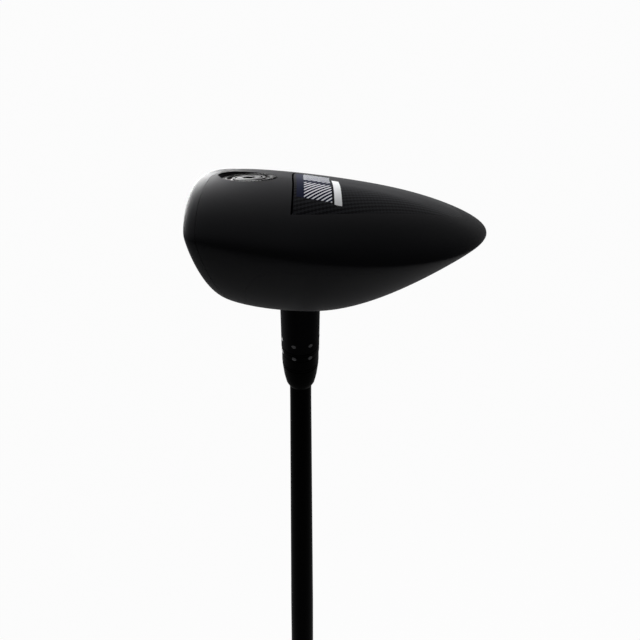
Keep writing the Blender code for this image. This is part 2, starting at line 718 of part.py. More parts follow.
def sleeve(name, bore, stem, ring, ring_at, ring_length, finish):
    """A cam sleeve: a thin stem in the hosel and a notched ring outside it."""
    edge = NOTCH_DEPTH
    made = turned(name, [
        (bore, ADAPTER_END_AT + SLEEVE_END_GAP), (stem, ADAPTER_END_AT + SLEEVE_END_GAP),
        (stem, ring_at), (ring - edge, ring_at), (ring, ring_at + edge),
        (ring, ring_at + ring_length - edge), (ring - edge, ring_at + ring_length), (bore, ring_at + ring_length),
    ], finish)
    notches = bmesh.new()
    width = math.pi * ring / RING_NOTCHES * NOTCH_SHARE
    for i in range(RING_NOTCHES):
        spot = Matrix.Rotation(math.tau * (i + 0.5) / RING_NOTCHES, 4, "Z")
        place = spot @ Matrix.Translation((ring, 0, ring_at + ring_length))
        size = Matrix.Diagonal((NOTCH_DEPTH * 2, width, ring_length / 2, 1))
        bmesh.ops.create_cube(notches, size=1.0, matrix=place @ size)
    combine(made, "DIFFERENCE", to_object("notches", notches, None))
    return on_axis(made)


def tip_adapter(finish):
    """The adapter bonded to the shaft's tip: threaded for the bolt, with a collar above the rings."""
    thread = BOLT_RADIUS + FIT
    shoulder = ADAPTER_END_AT + BOLT_THREAD + FIT
    return on_axis(turned("tip_adapter", [
        (thread, ADAPTER_END_AT), (ADAPTER_RADIUS, ADAPTER_END_AT), (ADAPTER_RADIUS, COLLAR_AT),
        (COLLAR_RADIUS, COLLAR_AT), (COLLAR_RADIUS, COLLAR_AT + COLLAR_LENGTH),
        (ADAPTER_BORE, COLLAR_AT + COLLAR_LENGTH), (ADAPTER_BORE, shoulder), (thread, shoulder),
    ], finish))


def ferrule(finish):
    """The tapered trim ring that runs the adapter down to the shaft."""
    edge = RING_STEP
    return on_axis(turned("ferrule", [
        (ADAPTER_BORE, FERRULE_AT), (COLLAR_RADIUS - edge, FERRULE_AT), (COLLAR_RADIUS, FERRULE_AT + edge),
        (FERRULE_END_RADIUS, FERRULE_END_AT - FERRULE_CHAMFER),
        (ADAPTER_BORE + edge * 2, FERRULE_END_AT), (ADAPTER_BORE, FERRULE_END_AT),
    ], finish))


# Shaft and grip, upright in the row frame

def shaft_stations():
    """Heights at which the shaft's taper changes, each with its radius."""
    return [
        (CAP_FLOOR + BUTT_PARALLEL, SHAFT_BUTT_RADIUS),
        (CLUB_LENGTH - SHOULDER_AT, SHOULDER_RADIUS),
        (CLUB_LENGTH - FERRULE_END_AT - TIP_PARALLEL, SHAFT_TIP_RADIUS),
    ]


def shaft_radius(z):
    """Outside of the shaft: parallel at the butt and at the tip, tapered in two stages between them."""
    stations = shaft_stations()
    if z <= stations[0][0]:
        return stations[0][1]
    for (low, wide), (high, slim) in zip(stations, stations[1:]):
        if z <= high:
            return wide + (slim - wide) * (z - low) / (high - low)
    return stations[-1][1]


def shaft_tip():
    """The tip rests above the thread of the adapter."""
    return CLUB_LENGTH - (ADAPTER_END_AT + BOLT_THREAD + 2 * FIT)


def shaft(finish):
    butt = CAP_FLOOR + FIT
    stations = [butt] + [z for z, _ in shaft_stations()] + [shaft_tip()]
    walls = [BUTT_WALL, BUTT_WALL, TIP_WALL, TIP_WALL, TIP_WALL]
    outside = [(shaft_radius(z), z) for z in stations]
    inside = [(r - wall, z) for (r, z), wall in zip(outside, walls)]
    return turned("shaft", outside + inside[::-1], finish)


def tip_plug(finish):
    """The plug that keeps adhesive out of the shaft."""
    top = shaft_tip() - FIT
    return rod("tip_plug", SHAFT_TIP_RADIUS - TIP_WALL - BOND, top - TIP_PLUG_LENGTH, top, finish, SMALL_ROUND)


def grip_tape(finish):
    low = CAP_LENGTH + FIT
    high = GRIP_LENGTH - FIT
    bend = CAP_FLOOR + BUTT_PARALLEL
    stations = [low, bend, high]
    inside = [(shaft_radius(z) + BOND, z) for z in stations]
    outside = [(r + TAPE_WALL, z) for r, z in inside]
    return turned("grip_tape", outside + inside[::-1], finish)


def grip_radius(z):
    """Outside of the grip: full at the butt, drawn in to the mouth."""
    share = (z - CAP_LENGTH) / (GRIP_LENGTH - CAP_LENGTH)
    mouth = shaft_radius(GRIP_LENGTH) + TAPE_WALL + GRIP_MOUTH_WALL
    full = CAP_RADIUS - FIT
    return full + (mouth - full) * share - GRIP_SWELL * math.sin(math.pi * share)


def grip_sleeve(finish):
    low = CAP_LENGTH + FIT
    steps = 8
    stations = [low + (GRIP_LENGTH - low) * i / steps for i in range(steps + 1)]
    bend = CAP_FLOOR + BUTT_PARALLEL
    outside = [(grip_radius(z), z) for z in stations]
    inside = [(shaft_radius(z) + TAPE_WALL + 2 * BOND, z) for z in (low, bend, GRIP_LENGTH)]
    return turned("grip_sleeve", outside + inside[::-1], finish)


def grip_cap(finish):
    """The cap that closes the butt, with the vent that lets air out as the grip is fitted."""
    socket = SHAFT_BUTT_RADIUS + BOND
    return turned("grip_cap", [
        (VENT_RADIUS, 0), (CAP_RADIUS - CAP_EDGE, 0), (CAP_RADIUS - CAP_EDGE * 0.3, CAP_EDGE * 0.3),
        (CAP_RADIUS, CAP_EDGE), (CAP_RADIUS, CAP_LENGTH), (socket, CAP_LENGTH), (socket, CAP_FLOOR),
        (VENT_RADIUS, CAP_FLOOR),
    ], finish)


def head_frame():
    """An empty that carries the head's own frame."""
    empty = bpy.data.objects.new("head_frame", None)
    empty.location = (0, 0, CLUB_LENGTH)
    empty.rotation_euler = (math.pi / 2 + LIE, 0, 0)
    bpy.context.scene.collection.objects.link(empty)
    return empty


def main():
    clear_scene()
    coat = material("matt_black_coat", (0.012, 0.012, 0.014), 0.45, 0.6)
    forged = material("blackened_face", (0.02, 0.02, 0.022), 0.38, 0.9)
    composite = material("carbon_composite", (0.012, 0.012, 0.016), 0.2, 0.0)
    bright = material("bright_steel", (0.55, 0.55, 0.56), 0.25, 1.0)
    anodised = material("black_anodised", (0.02, 0.02, 0.022), 0.35, 0.7)
    plastic = material("black_plastic", (0.01, 0.01, 0.011), 0.35, 0.0)
    rubber = material("black_rubber", (0.018, 0.018, 0.018), 0.75, 0.0)
    graphite = material("black_graphite", (0.008, 0.008, 0.009), 0.3, 0.0)
    adhesive = material("tape", (0.75, 0.72, 0.62), 0.8, 0.0)

    skin = head_form("skin")
    port = sole_frame(skin)
    bpy.data.objects.remove(skin, do_unlink=True)
    in_head = [
        *head_body(coat, port),
        face_cup(forged),
        panel("crown_panel", crown_outline, crown_side, composite),
        panel("sole_panel", sole_outline, sole_side, composite),
        toe_weight(bright, port),
        weight_screw(anodised, port),
        weight_ring(rubber, port),
        hosel_bolt(bright),
        bolt_washer(bright),
        bolt_keeper(rubber),
        seat_ring(anodised),
        sleeve(
            "loft_sleeve", LOFT_SLEEVE_BORE, LOFT_SLEEVE_RADIUS, LOFT_RING_RADIUS,
            LOFT_RING_AT, LOFT_RING_LENGTH, anodised,
        ),
        sleeve(
            "lie_sleeve", LIE_SLEEVE_BORE, LIE_SLEEVE_RADIUS, LIE_RING_RADIUS,
            LIE_RING_AT, LIE_RING_LENGTH, anodised,
        ),
        tip_adapter(anodised),
        ferrule(plastic),
    ]
    frame = head_frame()
    for obj in in_head:
        obj.parent = frame
    shaft(graphite)
    tip_plug(plastic)
    grip_tape(adhesive)
    grip_sleeve(rubber)
    grip_cap(rubber)


main()
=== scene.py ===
"""Finishes a right-handed fairway wood: fine meshes and materials on the CAD's bodies, then light and camera.

The head's own frame has b from face to back, t from heel to toe and u from sole to crown, in metres,
from the point where the shaft axis meets the sole plane.
"""

import math

import bmesh
import bpy
from mathutils import Matrix, Vector
from mathutils.bvhtree import BVHTree


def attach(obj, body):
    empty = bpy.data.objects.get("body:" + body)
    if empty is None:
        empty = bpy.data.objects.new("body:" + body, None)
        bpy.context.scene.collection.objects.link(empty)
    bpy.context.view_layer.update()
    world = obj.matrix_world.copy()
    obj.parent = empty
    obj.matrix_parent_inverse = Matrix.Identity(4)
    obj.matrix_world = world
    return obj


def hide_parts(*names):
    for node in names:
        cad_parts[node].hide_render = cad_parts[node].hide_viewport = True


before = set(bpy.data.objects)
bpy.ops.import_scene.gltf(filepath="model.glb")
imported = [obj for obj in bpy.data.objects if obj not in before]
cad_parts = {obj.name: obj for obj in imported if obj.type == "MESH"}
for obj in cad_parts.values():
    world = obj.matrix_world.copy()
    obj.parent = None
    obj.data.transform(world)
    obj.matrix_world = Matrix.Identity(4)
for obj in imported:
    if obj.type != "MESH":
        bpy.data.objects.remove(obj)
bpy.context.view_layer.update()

# Head body
# The cast shell: skirt, front of the sole, neck and the two ports. It is painted matt black, and the
# other pieces of the head are let into it with fine seams.
lie_angle = math.radians(57.5)
loft_angle = math.radians(16)
club_length = 1.0922
head_to_row = Matrix.Translation((0, 0, club_length)) @ Matrix.Rotation(math.pi / 2 + lie_angle, 4, "X")
beyond_head = 0.06
head_b, head_t = 0.0217, 0.038
head_back, head_front = 0.047, 0.078
head_toe, head_heel = 0.057, 0.062
head_power = 2.13
rim_middle, rim_level = 0.00765, 0.006
rim_fall, rim_climb = 0.029, 0.141
rim_blend = 0.004
crown_top = 0.0387
crown_fall = 0.196
crown_straight = 0.14
sole_low_b, sole_low_t = 0.029, 0.046
sole_sink = 0.0015
sole_power = 3.6
camber_back, camber_front = 0.294, 0.470
camber_toe, camber_heel = 0.120, 0.670
face_front = -0.0175
face_low, face_middle = 0.003, 0.018
bulge_radius, roll_radius = 0.26, 0.26
face_round = 0.0068


def soft_max(first, second, blend):
    """The greater of two values, rounded over where they are close."""
    return (first + second + math.hypot(first - second, blend)) / 2


def oval_reach(angle, along, across, power):
    """How far an oval reaches from its middle at an angle."""
    powers = abs(math.cos(angle) / along) ** power + abs(math.sin(angle) / across) ** power
    return powers ** (-1 / power)


def rim_height(b, t):
    """Height of the head's widest line, which rises to the toe and levels out at the heel."""
    straight = rim_middle - rim_fall * (b - head_b) + rim_climb * (t - head_t)
    return soft_max(straight, rim_level, rim_blend)


def face_at(t, u):
    """Where the lofted face, with its bulge and roll, stands along b."""
    slope = math.tan(loft_angle) * (u - face_low)
    bulge = (t - head_t) ** 2 / (2 * bulge_radius)
    return face_front + slope + bulge + (u - face_middle) ** 2 / (2 * roll_radius)


def sole_lean(b, t):
    """How far the cambered sole rises from its lowest point."""
    along = camber_back if b > sole_low_b else camber_front
    across = camber_toe if t > sole_low_t else camber_heel
    return (max(b, face_front) - sole_low_b) ** 2 / (2 * along) + (t - sole_low_t) ** 2 / (2 * across)


def head_point(angle, latitude, inset, face_inset):
    """A point of the head's surface, taken in by a wall thickness."""
    out = math.cos(latitude)
    lift = math.sin(abs(latitude))
    along = (head_back if math.cos(angle) > 0 else head_front) - inset
    across = (head_toe if math.sin(angle) > 0 else head_heel) - inset
    reach = out * oval_reach(angle, along, across, head_power)
    b = head_b + reach * math.cos(angle)
    t = head_t + reach * math.sin(angle)
    rim = rim_height(b, t)
    if latitude >= 0:
        crown_height = crown_top - inset - crown_fall * (b - head_b)
        u = rim + (crown_height - rim) * (crown_straight * lift + (1 - crown_straight) * lift**2)
    else:
        u = rim - (rim - inset + sole_sink - sole_lean(b, t)) * math.sqrt(1 - out**sole_power)
    return Vector((soft_max(b, face_at(t, u) + face_inset, face_round), t, u))


def soften(mesh, crease):
    """Shades a mesh smooth up to a crease angle in degrees."""
    mesh.shade_smooth()
    mesh.set_sharp_from_angle(angle=math.radians(crease))


def add_mesh(name, bm):
    """Makes an object of a bmesh, shaded smooth up to 35 degrees."""
    bmesh.ops.remove_doubles(bm, verts=bm.verts, dist=1e-7)
    bmesh.ops.recalc_face_normals(bm, faces=bm.faces)
    mesh = bpy.data.meshes.new(name)
    bm.to_mesh(mesh)
    bm.free()
    soften(mesh, 35)
    obj = bpy.data.objects.new(name, mesh)
    bpy.context.scene.collection.objects.link(obj)
    return obj


def head_form(name, inset=0.0, face_inset=None, spokes=144, rings=72):
    """The head as one closed form, shaped from a sphere."""
    front_inset = inset if face_inset is None else face_inset
    bm = bmesh.new()
    bmesh.ops.create_uvsphere(bm, u_segments=spokes, v_segments=rings, radius=1.0)
    for v in bm.verts:
        latitude = math.asin(max(-1.0, min(1.0, v.co.z)))
        v.co = head_point(math.atan2(v.co.y, v.co.x), latitude, inset, front_inset)
    return add_mesh(name, bm)


def combine(obj, operation, *tools):
    """Joins, cuts or trims obj by other objects, which are used up."""
    for tool in tools:
        step = obj.modifiers.new(operation, "BOOLEAN")
        step.operation = operation
        step.solver = "EXACT"
        step.object = tool
        bpy.context.view_layer.update()
        result = bpy.data.meshes.new_from_object(obj.evaluated_get(bpy.context.evaluated_depsgraph_get()))
        obj.modifiers.clear()
        obj.data = result
        bpy.data.objects.remove(tool, do_unlink=True)
    return obj


def turned(name, profile, segments=96):
    """A solid turned about Z from a closed profile of (radius, height) points."""
    bm = bmesh.new()
    points = [bm.verts.new((r, 0, z)) for r, z in profile]
    pairs = zip(points, points[1:] + points[:1])
    edges = [bm.edges.new((a, b)) for a, b in pairs if a.co.x > 0 or b.co.x > 0]
    bmesh.ops.spin(
        bm, geom=points + edges, cent=(0, 0, 0), axis=(0, 0, 1),
        angle=math.tau, steps=segments, use_merge=True,
    )
    bmesh.ops.remove_doubles(bm, verts=bm.verts, dist=1e-7)
    middles = [v for v in bm.verts if math.hypot(v.co.x, v.co.y) < 1e-7]
    bmesh.ops.dissolve_verts(bm, verts=middles)
    return add_mesh(name, bm)


def rod(name, radius, low, high, segments=96):
    return turned(name, [(0, low), (radius, low), (radius, high), (0, high)], segments)


def draw_out(bm, faces, axis, end):
    """Extrudes faces until the new ones reach an end along an axis."""
    for v in bmesh.ops.extrude_face_region(bm, geom=faces)["geom"]:
        if isinstance(v, bmesh.types.BMVert):
            v.co[axis] = end


def prism(name, outline, low, high):
    """A straight prism along Z over an outline of (x, y) points."""
    bm = bmesh.new()
    base = bm.faces.new([bm.verts.new((x, y, low)) for x, y in outline])
    draw_out(bm, [base], 2, high)
    return add_mesh(name, bm)


def on_axis(obj):
    """Turns a piece made about Z so that it runs up the shaft axis in the head's frame."""
    obj.data.transform(Matrix.Rotation(math.pi / 2 - lie_angle, 4, "X"))
    return obj


split_height = 0.0083
split_climb = 0.075


def half_prism(outline, end):
    """A prism over an outline of (b, t) points, from the plane between sole and crown to an end."""
    bm = bmesh.new()
    base = [bm.verts.new((b, t, split_height + split_climb * (t - head_t))) for b, t in outline]
    draw_out(bm, [bm.faces.new(base)], 2, end)
    return add_mesh("half", bm)


crown_b, crown_t = 0.024, 0.042
crown_back, crown_front = 0.041, 0.020
crown_toe, crown_heel = 0.047, 0.042
crown_power = 2.3
crown_steps = 160


def crown_outline(grow):
    """The crown panel's edge, an oval that is blunter in front."""
    points = []
    for i in range(crown_steps):
        angle = math.tau * (i + 0.5) / crown_steps
        along = (crown_back if math.cos(angle) > 0 else crown_front) + grow
        across = (crown_toe if math.sin(angle) > 0 else crown_heel) + grow
        size = oval_reach(angle, along, across, crown_power)
        points.append((crown_b + size * math.cos(angle), crown_t + size * math.sin(angle)))
    return points


panel_front = 0.0035
panel_sweep = 0.29
panel_nose_t, panel_nose_round = 0.025, 0.008
tail_b, tail_t = 0.016, 0.0376
tail_along, tail_across = 0.045, 0.044
tail_power = 1.6
tail_steps, front_steps = 120, 60


def sole_front(t, grow):
    """The sole panel's front edge, swept back from a rounded nose."""
    return panel_front - grow + panel_sweep * math.hypot(t - panel_nose_t, panel_nose_round)


def sole_tail(angle, grow):
    size = oval_reach(angle, tail_along + grow, tail_across + grow, tail_power)
    return tail_b + size * math.cos(angle), tail_t + size * math.sin(angle)


def sole_corner(side, grow, front_grow):
    """The angle at which the tail meets the front edge, on the toe (1) or heel (-1) side."""
    inside, outside = 0.0, side * math.pi * 0.75
    for _ in range(40):
        middle = (inside + outside) / 2
        b, t = sole_tail(middle, grow)
        if b > sole_front(t, front_grow):
            inside = middle
        else:
            outside = middle
    return inside


def sole_outline(grow, front_grow):
    """The rounded tail, closed by the front edge."""
    toe, heel = sole_corner(1, grow, front_grow), sole_corner(-1, grow, front_grow)
    tail = [sole_tail(heel + (toe - heel) * i / tail_steps, grow) for i in range(tail_steps + 1)]
    start, end = tail[-1][1], tail[0][1]
    edge = [start + (end - start) * i / front_steps for i in range(1, front_steps)]
    return tail + [(sole_front(t, front_grow), t) for t in edge]


slab_half_width, slab_half_height = 0.114, 0.060
slab_front = -0.120


def face_slab(behind):
    """Everything ahead of a surface that stands this far behind the face."""
    bm = bmesh.new()
    bmesh.ops.create_grid(bm, x_segments=72, y_segments=24, size=1.0)
    for v in bm.verts:
        t = head_t + v.co.x * slab_half_width
        u = face_middle + v.co.y * slab_half_height
        v.co = (face_at(t, u) + behind, t, u)
    draw_out(bm, list(bm.faces), 0, slab_front)
    return add_mesh("slab", bm)


def heel_block(radius):
    """The heel's share of the front: a block round the shaft axis that runs on past the heel."""
    turns = [math.pi * i / 48 for i in range(49)]
    outline = [(radius * math.cos(turn), radius * math.sin(turn)) for turn in turns]
    outline += [(-radius, -beyond_head), (radius, -beyond_head)]
    return on_axis(prism("heel", outline, -beyond_head, beyond_head))


neck_radius, neck_end_radius = 0.00745, 0.00728
neck_bore = 0.0068
neck_end_at = 0.082
neck_end_edge = 0.0001
bore_floor_at = 0.046
flare_low, flare_length = 0.018, 0.044
flare_width = 0.0065
flare_power = 2.2
flare_lean = 0.85
flare_steps = 24


def neck_form():
    """The neck, flaring into the heel and leaning back from the face as it widens."""
    profile = [(0, flare_low)]
    for i in range(flare_steps + 1):
        share = i / flare_steps
        flare = flare_width * (1 - share) ** flare_power
        profile.append((neck_radius + flare, flare_low + flare_length * share))
    profile += [
        (neck_end_radius, neck_end_at - neck_end_edge), (neck_end_radius - neck_end_edge, neck_end_at),
        (neck_bore, neck_end_at), (neck_bore, bore_floor_at), (0, bore_floor_at),
    ]
    neck = turned("neck", profile)
    for v in neck.data.vertices:
        v.co.x += flare_lean * max(0.0, math.hypot(v.co.x, v.co.y) - neck_radius)
    return on_axis(neck)


skin = head_form("skin")
skin_tree = BVHTree.FromPolygons(
    [v.co for v in skin.data.vertices], [p.vertices for p in skin.data.polygons]
)
skin_reach = 0.00004
skin_turn = 0.9


def skin_normal(point):
    """The head's smooth normal near a point, or None away from its skin."""
    spot, _, face, distance = skin_tree.find_nearest(point)
    if distance > skin_reach:
        return None
    normal = Vector()
    for index in skin.data.polygons[face].vertices:
        vertex = skin.data.vertices[index]
        normal += vertex.normal / max((vertex.co - spot).length, 1e-7)
    return normal.normalized()


def smooth_skin(obj):
    """Gives the faces on the head's outer skin its own smooth normals, past every seam."""
    mesh = obj.data
    soften(mesh, 35)
    normals = [(0, 0, 0)] * len(mesh.loops)
    for polygon in mesh.polygons:
        middle = skin_normal(polygon.center)
        if middle is None or middle.dot(polygon.normal) < skin_turn:
            continue
        for loop in polygon.loop_indices:
            corner = skin_normal(mesh.vertices[mesh.loops[loop].vertex_index].co)
            if corner is not None:
                normals[loop] = corner
    mesh.normals_split_custom_set(normals)
    mesh.transform(head_to_row)


def math_node(tree, operation, first, second=None, third=None):
    """One arithmetic node, taking sockets or numbers."""
    node = tree.nodes.new("ShaderNodeMath")
    node.operation = operation
    for index, value in enumerate((first, second, third)):
        if value is None:
            continue
        if isinstance(value, (int, float)):
            node.inputs[index].default_value = value
        else:
            tree.links.new(value, node.inputs[index])
    return node.outputs[0]


def blend_colour(tree, factor, first, second):
    """Mixes two colours, each given as a socket or as three numbers."""
    node = tree.nodes.new("ShaderNodeMix")
    node.data_type = "RGBA"
    tree.links.new(factor, node.inputs["Factor"])
    for name, value in (("A", first), ("B", second)):
        if isinstance(value, tuple):
            node.inputs[name].default_value = (*value, 1)
        else:
            tree.links.new(value, node.inputs[name])
    return node.outputs["Result"]


def row_place(tree):
    """Position in the row frame: x, y and z on the three outputs."""
    place = tree.nodes.new("ShaderNodeTexCoord")
    parts = tree.nodes.new("ShaderNodeSeparateXYZ")
    tree.links.new(place.outputs["Object"], parts.inputs[0])
    return parts.outputs


def start_material(name, colour, roughness, metallic=0.0, gloss=0.5):
    """A material with its Principled node set, and the means to add to it."""
    made = bpy.data.materials.new(name)
    made.use_nodes = True
    shader = made.node_tree.nodes["Principled BSDF"]
    shader.inputs["Base Color"].default_value = (*colour, 1)
    shader.inputs["Roughness"].default_value = roughness
    shader.inputs["Metallic"].default_value = metallic
    shader.inputs["Specular IOR Level"].default_value = gloss
    return made, made.node_tree, shader


def grain_group():
    """A fine uneven grain: a roughness that wanders, and a bump."""
    group = bpy.data.node_groups.new("grain", "ShaderNodeTree")
    for socket, default in (("Scale", 900.0), ("Roughness", 0.4), ("Spread", 0.1), ("Height", 0.1)):
        made = group.interface.new_socket(socket, in_out="INPUT", socket_type="NodeSocketFloat")
        made.default_value = default
    group.interface.new_socket("Roughness", in_out="OUTPUT", socket_type="NodeSocketFloat")
    group.interface.new_socket("Normal", in_out="OUTPUT", socket_type="NodeSocketVector")
    nodes, links = group.nodes, group.links
    given, out = nodes.new("NodeGroupInput"), nodes.new("NodeGroupOutput")
    place = nodes.new("ShaderNodeTexCoord")
    fine = nodes.new("ShaderNodeTexNoise")
    links.new(place.outputs["Object"], fine.inputs["Vector"])
    links.new(given.outputs["Scale"], fine.inputs["Scale"])
    fine.inputs["Detail"].default_value = 3
    wide = nodes.new("ShaderNodeTexNoise")
    links.new(place.outputs["Object"], wide.inputs["Vector"])
    wide.inputs["Scale"].default_value = 60
    both = math_node(group, "ADD", fine.outputs["Fac"], wide.outputs["Fac"])
    centred = math_node(group, "SUBTRACT", both, 1)
    vary = math_node(group, "MULTIPLY_ADD", centred, given.outputs["Spread"], given.outputs["Roughness"])
    links.new(vary, out.inputs["Roughness"])
    bump = nodes.new("ShaderNodeBump")
    bump.inputs["Distance"].default_value = 0.00002
    links.new(given.outputs["Height"], bump.inputs["Strength"])
    links.new(fine.outputs["Fac"], bump.inputs["Height"])
    links.new(bump.outputs["Normal"], out.inputs["Normal"])
    return group


grain = grain_group()


def add_grain(tree, shader, scale, roughness, spread, height):
    """Puts the grain on a shader's roughness and normal."""
    node = tree.nodes.new("ShaderNodeGroup")
    node.node_tree = grain
    for name, value in (("Scale", scale), ("Roughness", roughness), ("Spread", spread), ("Height", height)):
        node.inputs[name].default_value = value
    tree.links.new(node.outputs["Roughness"], shader.inputs["Roughness"])
    tree.links.new(node.outputs["Normal"], shader.inputs["Normal"])


def hand_over(obj, material, body_name, slot, *nodes):
    """Gives a finished piece its material, its body and the CAD nodes it stands for; the slot is not used."""
    obj.data.materials.clear()
    obj.data.materials.append(material)
    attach(obj, body_name)
    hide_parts(*nodes)


seam, painted_seam, groove = 0.0003, 0.00003, 0.0006
body_wall, face_wall, post_wall = 0.0014, 0.0022, 0.0009
face_rim = 0.005
face_gap = 0.00012
face_heel_radius = 0.012
port_middle = (-0.0016, 0.054, 0.000295)
port_normal = Vector((-0.16843, 0.09809, -0.98082))
port = Matrix.Translation(port_middle) @ port_normal.to_track_quat("Z", "Y").to_matrix().to_4x4()
port_radius, port_depth = 0.0085, 0.0047
port_edge, port_edge_low, port_edge_high = 0.0006, -0.0004, 0.0002
beyond_port = 0.01
boss_wall, boss_depth = 0.0013, 0.0064
bolt_hole_radius = 0.003
bolt_port_radius = 0.005
bolt_seat_at = 0.027
body = head_form("head_shell")
opening = face_slab(face_rim + face_gap)
combine(opening, "DIFFERENCE", heel_block(face_heel_radius))
combine(body, "DIFFERENCE", opening)
combine(body, "UNION", neck_form())
hollow = head_form("hollow", body_wall, face_wall, 48, 24)
combine(hollow, "DIFFERENCE", on_axis(rod("post", neck_bore + post_wall, -beyond_head, beyond_head, 48)))
combine(body, "DIFFERENCE", hollow)
combine(body, "DIFFERENCE", half_prism(crown_outline(painted_seam), beyond_head))
combine(body, "DIFFERENCE", half_prism(sole_outline(painted_seam, groove), -beyond_head))
boss = rod("boss", port_radius + boss_wall, -port_depth - boss_depth, -body_wall / 2)
recess = turned("recess", [
    (0, -port_depth), (port_radius, -port_depth), (port_radius, port_edge_low),
    (port_radius + port_edge, port_edge_high), (port_radius + port_edge, beyond_port), (0, beyond_port),
])
for tool in (boss, recess):
    tool.data.transform(port)
combine(body, "UNION", boss)
combine(body, "DIFFERENCE", recess)
combine(body, "DIFFERENCE", on_axis(rod("bolt_hole", bolt_hole_radius, 0, bore_floor_at + seam)))
combine(body, "DIFFERENCE", on_axis(rod("bolt_port", bolt_port_radius, -beyond_head, bolt_seat_at)))
smooth_skin(body)
coat_black = (0.026, 0.026, 0.028)
# The neck is painted darker than the head's coat, fading into it up the shaft axis: painted shade on the
# neck.
neck_painted_shade = (0.009, 0.009, 0.0097)
shade_full_at, shade_gone_at = 1.040, 1.058
coat_gloss = 0.0018
coat_grain = (2600, 0.44, 0.05, 0.25)
coat, coat_tree, coat_shader = start_material("matt_black_coat", coat_black, 0.42, gloss=coat_gloss)
# Painted shade: the coat turns to the darker neck colour between two heights.
neck_shade_fade = coat_tree.nodes.new("ShaderNodeMapRange")
neck_shade_fade.interpolation_type = "SMOOTHSTEP"
neck_shade_fade.inputs["From Min"].default_value = shade_full_at
neck_shade_fade.inputs["From Max"].default_value = shade_gone_at
coat_tree.links.new(row_place(coat_tree)[2], neck_shade_fade.inputs["Value"])
coat_with_neck_shade = blend_colour(coat_tree, neck_shade_fade.outputs["Result"], neck_painted_shade, coat_black)
coat_tree.links.new(coat_with_neck_shade, coat_shader.inputs["Base Color"])
add_grain(coat_tree, coat_shader, *coat_grain)
hand_over(body, coat, "head", "coat", "head_body", "hosel_tube")

# Face cup
# The forged face and its rim, which wraps back a few millimetres and is welded to the body. It is
# blackened and brushed, with shallow score lines on both sides of a plain middle.
score_start, score_end = 0.012, 0.034
score_pitch = 0.0042
score_half_width = 0.0003
score_depth = 0.00025
score_rows = range(2, 8)
score_steps = 12
score_low, score_high = 0.006, 0.031
score_behind = -0.002
cup = head_form("face")
combine(cup, "DIFFERENCE", head_form("hollow", body_wall, face_wall, 48, 24))
combine(cup, "INTERSECT", face_slab(face_rim))
combine(cup, "DIFFERENCE", heel_block(face_heel_radius + face_gap))


def face_spot(t, u):
    """Where the finished face stands along b, or None past its edge."""
    spot = skin_tree.ray_cast(Vector((slab_front, t, u)), Vector((1, 0, 0)))[0]
    return None if spot is None or spot.x > score_behind else spot.x


def score_places(u, side):
    """Points (b, t) along the floor of one score line, on the toe (1) or heel (-1) side."""
    places = []
    for i in range(score_steps):
        t = head_t + side * (score_start + (score_end - score_start) * i / (score_steps - 1))
        spot = face_spot(t, u)
        if spot is None:
            break
        places.append((spot + score_depth, t))
    return places


def score_lines():
    """The cutter for all score lines, which sinks each of them evenly into the face."""
    bm = bmesh.new()
    for row in score_rows:
        u = row * score_pitch
        for side in (-1, 1):
            places = score_places(u, side)
            last = len(places) - 1
            if last < 1:
                continue
            floor_strip = bmesh.ops.create_grid(bm, x_segments=last, y_segments=1, size=1.0)
            for v in floor_strip["verts"]:
                b, t = places[round((v.co.x + 1) / 2 * last)]
                v.co = (b, t, u + v.co.y * score_half_width)
    draw_out(bm, list(bm.faces), 0, slab_front)
    return add_mesh("score", bm)


combine(cup, "DIFFERENCE", score_lines())
smooth_skin(cup)


def head_place(tree):
    """Position in the head's own frame: b, t and u on the three outputs."""
    place = tree.nodes.new("ShaderNodeTexCoord")
    shift = tree.nodes.new("ShaderNodeVectorMath")
    shift.operation = "SUBTRACT"
    shift.inputs[1].default_value = (0, 0, club_length)
    tree.links.new(place.outputs["Object"], shift.inputs[0])
    turn = tree.nodes.new("ShaderNodeVectorRotate")
    turn.rotation_type = "X_AXIS"
    turn.inputs["Angle"].default_value = -(math.pi / 2 + lie_angle)
    tree.links.new(shift.outputs[0], turn.inputs["Vector"])
    parts = tree.nodes.new("ShaderNodeSeparateXYZ")
    tree.links.new(turn.outputs[0], parts.inputs[0])
    return parts.outputs


def between(tree, value, low, high):
    """1 between two limits and 0 outside them."""
    return math_node(tree, "COMPARE", value, (low + high) / 2, (high - low) / 2)


score_grey = (0.09, 0.09, 0.095)
forged, forged_tree, forged_shader = start_material("blackened_face", coat_black, 0.4, gloss=coat_gloss)
face_b, face_t, face_u = head_place(forged_tree)
nearest = math_node(forged_tree, "PINGPONG", face_u, score_pitch / 2)
line = math_node(forged_tree, "LESS_THAN", nearest, score_half_width)
aside = math_node(forged_tree, "ABSOLUTE", math_node(forged_tree, "SUBTRACT", face_t, head_t))
line = math_node(forged_tree, "MULTIPLY", line, between(forged_tree, aside, score_start, score_end))
line = math_node(forged_tree, "MULTIPLY", line, between(forged_tree, face_u, score_low, score_high))
line = math_node(forged_tree, "MULTIPLY", line, math_node(forged_tree, "LESS_THAN", face_b, score_behind))
scored = blend_colour(forged_tree, line, coat_black, score_grey)
forged_tree.links.new(scored, forged_shader.inputs["Base Color"])
add_grain(forged_tree, forged_shader, 1800, 0.4, 0.08, 0.3)
hand_over(cup, forged, "head", "face", "face_cup")

# Crown panel
# A thin composite shell, moulded in one piece and bonded to a ledge round the top of the body. It is
# painted the same matt black, so that only a hairline shows.
panel_wall = 0.0008
crown = head_form("crown")
combine(crown, "DIFFERENCE", head_form("hollow", panel_wall, panel_wall))
combine(crown, "INTERSECT", half_prism(crown_outline(0.0), beyond_head))
smooth_skin(crown)


def plain_finish(name, colour, roughness, grain_look, metallic=0.0, gloss=0.5):
    """A material of one colour, with the grain's scale, roughness, spread and height."""
    made, tree, shader = start_material(name, colour, roughness, metallic, gloss)
    add_grain(tree, shader, *grain_look)
    return made


